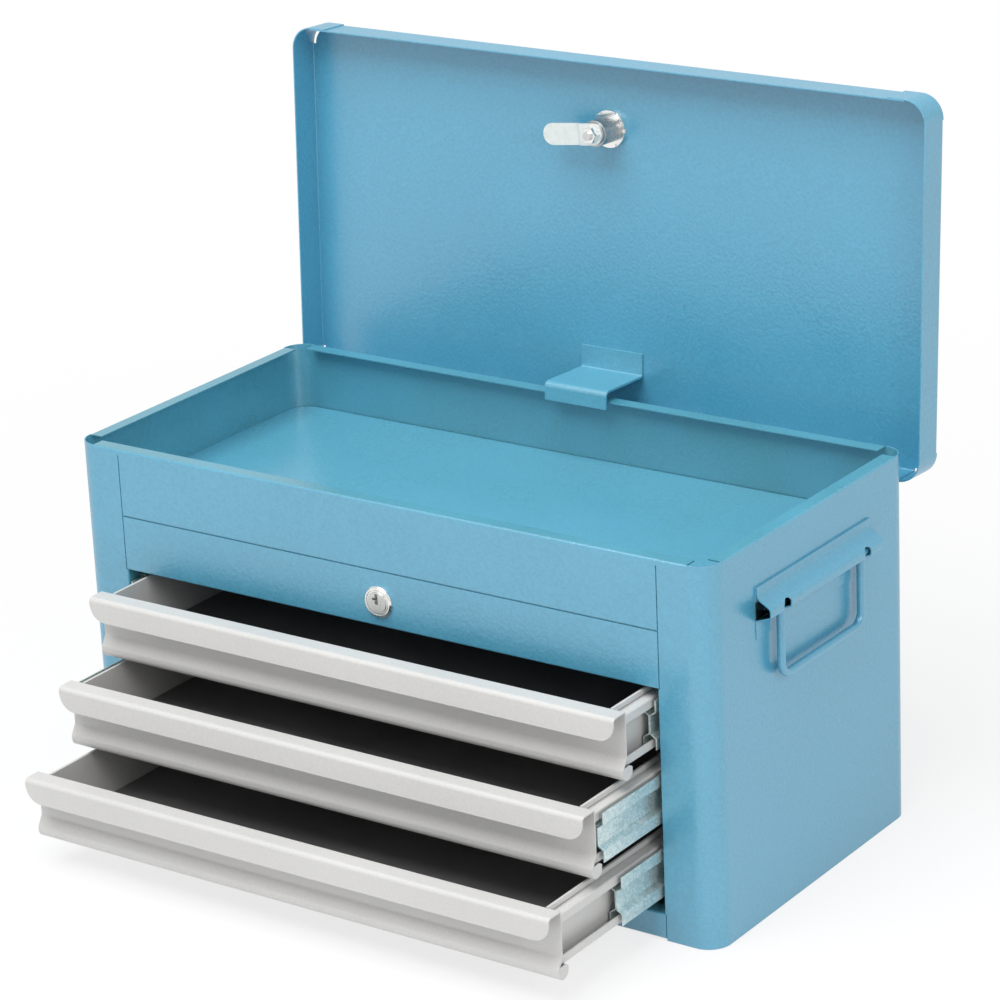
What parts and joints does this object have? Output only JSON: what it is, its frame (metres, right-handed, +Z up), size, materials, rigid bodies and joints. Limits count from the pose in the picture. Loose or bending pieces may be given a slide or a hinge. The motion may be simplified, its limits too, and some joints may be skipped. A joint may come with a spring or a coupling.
{
  "type": "portable tool box with drawers",
  "caption": "Steel tool box with a lift-up lid over an open tray, drawers on telescopic slides below, a lock for lid and drawers and a folding bail on each side",
  "frame": {"origin": "Centre of the cabinet's base, on the floor it stands on.", "axes": "X across the box and the longest way, right side at +X when facing the front; -Y out of the front, the way the drawers open; Z up."},
  "size_m": [0.523, 0.4124, 0.4834],
  "materials": {
    "blue_paint": "light blue baked paint with a fine hammered texture",
    "grey_paint": "light grey smooth baked paint",
    "zinc_steel": "bright zinc-plated rolled steel",
    "chrome_plate": "bright nickel-chrome plating",
    "rubber_mat": "matt black mat"
  },
  "bodies": {
    "cabinet": {"upper_fascia": "blue_paint", "lock_rail": "blue_paint", "front_bottom_rail": "blue_paint", "back_panel": "blue_paint", "tray_floor": "blue_paint", "bottom_pan": "blue_paint", "hinge_body_leaf": "zinc_steel", "hinge_pin": "zinc_steel", "drawer_lock_housing": "chrome_plate", "drawer_lock_nut": "chrome_plate", "left_side_wrap": "blue_paint", "left_slide_panel": "blue_paint", "left_handle_backing": "blue_paint", "left_handle_hood": "blue_paint", "left_upper_cabinet_runner": "zinc_steel", "left_middle_cabinet_runner": "zinc_steel", "left_lower_cabinet_runner": "zinc_steel", "right_side_wrap": "blue_paint", "right_slide_panel": "blue_paint", "right_handle_backing": "blue_paint", "right_handle_hood": "blue_paint", "right_upper_cabinet_runner": "zinc_steel", "right_middle_cabinet_runner": "zinc_steel", "right_lower_cabinet_runner": "zinc_steel"},
    "lid": {"lid_shell": "blue_paint", "hinge_lid_leaf": "zinc_steel", "lid_stop_hook": "blue_paint", "lid_lock_housing": "chrome_plate", "lid_lock_nut": "chrome_plate"},
    "lid_key_plug": {"lid_lock_plug": "chrome_plate", "lid_lock_cam": "chrome_plate", "lid_lock_cam_nut": "chrome_plate"},
    "drawer_key_plug": {"drawer_lock_plug": "chrome_plate", "drawer_lock_cam": "chrome_plate", "drawer_lock_cam_nut": "chrome_plate"},
    "upper_drawer": {"upper_drawer_box": "grey_paint", "upper_drawer_front": "grey_paint", "upper_drawer_liner": "rubber_mat"},
    "middle_drawer": {"middle_drawer_box": "grey_paint", "middle_drawer_front": "grey_paint", "middle_drawer_liner": "rubber_mat"},
    "lower_drawer": {"lower_drawer_box": "grey_paint", "lower_drawer_front": "grey_paint", "lower_drawer_liner": "rubber_mat"},
    "upper_slide": {"left_upper_slide_member": "zinc_steel", "right_upper_slide_member": "zinc_steel"},
    "middle_slide": {"left_middle_slide_member": "zinc_steel", "right_middle_slide_member": "zinc_steel"},
    "lower_slide": {"left_lower_slide_member": "zinc_steel", "right_lower_slide_member": "zinc_steel"},
    "left_bail": {"left_bail": "blue_paint"},
    "right_bail": {"right_bail": "blue_paint"}
  },
  "joints": [
    {"name": "lid_hinge", "type": "hinge", "parent": "cabinet", "child": "lid", "pos_m": [0, 0.12705, 0.2296], "axis": [1, 0, 0], "range_deg": [0, 92.6]},
    {"name": "lid_key_turn", "type": "hinge", "parent": "lid", "child": "lid_key_plug", "pos_m": [0, 0.16441, 0.43282], "axis": [0, 0.999, -0.0454], "range_deg": [0, 96.4]},
    {"name": "drawer_key_turn", "type": "hinge", "parent": "cabinet", "child": "drawer_key_plug", "pos_m": [0, -0.12265, 0.1883], "axis": [0, -1, 0], "range_deg": [0, 90]},
    {"name": "upper_drawer_slide", "type": "slide", "parent": "cabinet", "child": "upper_drawer", "axis": [0, -1, 0], "range_m": [-0.032, 0.118]},
    {"name": "middle_drawer_slide", "type": "slide", "parent": "cabinet", "child": "middle_drawer", "axis": [0, -1, 0], "range_m": [-0.069, 0.081]},
    {"name": "lower_drawer_slide", "type": "slide", "parent": "cabinet", "child": "lower_drawer", "axis": [0, -1, 0], "range_m": [-0.109, 0.041]},
    {"name": "upper_slide_run", "type": "slide", "parent": "cabinet", "child": "upper_slide", "axis": [0, -1, 0], "range_m": [-0.016, 0.059]},
    {"name": "middle_slide_run", "type": "slide", "parent": "cabinet", "child": "middle_slide", "axis": [0, -1, 0], "range_m": [-0.064, 0.0752]},
    {"name": "lower_slide_run", "type": "slide", "parent": "cabinet", "child": "lower_slide", "axis": [0, -1, 0], "range_m": [-0.0545, 0.0205]},
    {"name": "left_bail_swing", "type": "hinge", "parent": "cabinet", "child": "left_bail", "pos_m": [-0.256, 0, 0.21024], "axis": [0, 1, 0], "range_deg": [0, 90]},
    {"name": "right_bail_swing", "type": "hinge", "parent": "cabinet", "child": "right_bail", "pos_m": [0.256, 0, 0.21024], "axis": [0, -1, 0], "range_deg": [0, 90]}
  ],
  "couplings": [
    {"joint": "upper_slide_run", "follows": "upper_drawer_slide", "ratio": 0.5},
    {"joint": "middle_slide_run", "follows": "middle_drawer_slide", "ratio": 0.9275},
    {"joint": "lower_slide_run", "follows": "lower_drawer_slide", "ratio": 0.5}
  ]
}
